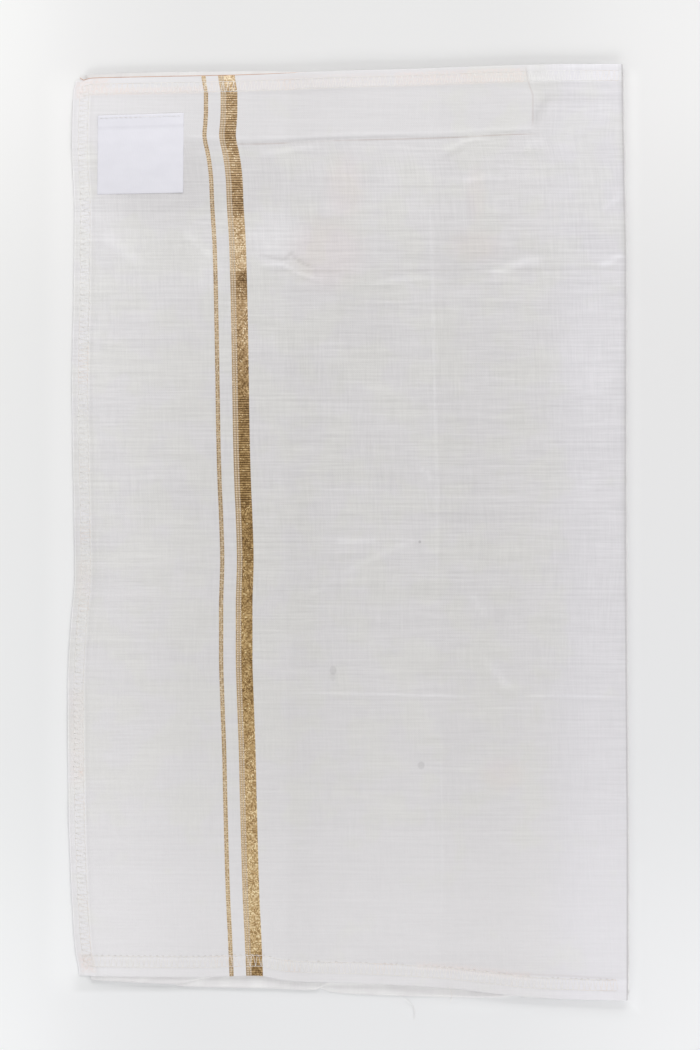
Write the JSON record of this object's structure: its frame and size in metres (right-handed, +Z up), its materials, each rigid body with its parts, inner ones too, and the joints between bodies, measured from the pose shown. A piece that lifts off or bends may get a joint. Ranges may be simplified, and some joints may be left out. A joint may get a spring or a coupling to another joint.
{
  "type": "folded dhoti cloth",
  "caption": "Flat folded packet of sheer white cotton dhoti cloth with hemmed edges, a rolled fold along one side, a band under one end and a small sewn label.",
  "frame": {"origin": "under the middle of the packet, on the surface it lies on", "axes": "+X across the packet from its hemmed edge to its fold, +Y along it towards the end with the band, +Z up"},
  "size_m": [0.253, 0.4224, 0.0064],
  "materials": {
    "panel_cotton": "sheer plain-woven white cotton with uneven slubs, woven gold stripes along one side and a soft low sheen",
    "layer_cotton": "the same sheer white cotton in shade, matte",
    "band_cotton": "the same white cotton, overlocked, matte",
    "label_satin": "smooth cool white satin tape with a low sheen, bare"
  },
  "bodies": {
    "root": {"dhoti_panel": "panel_cotton", "folded_layers": "layer_cotton", "inner_band": "band_cotton", "sewn_label": "label_satin"}
  },
  "joints": []
}
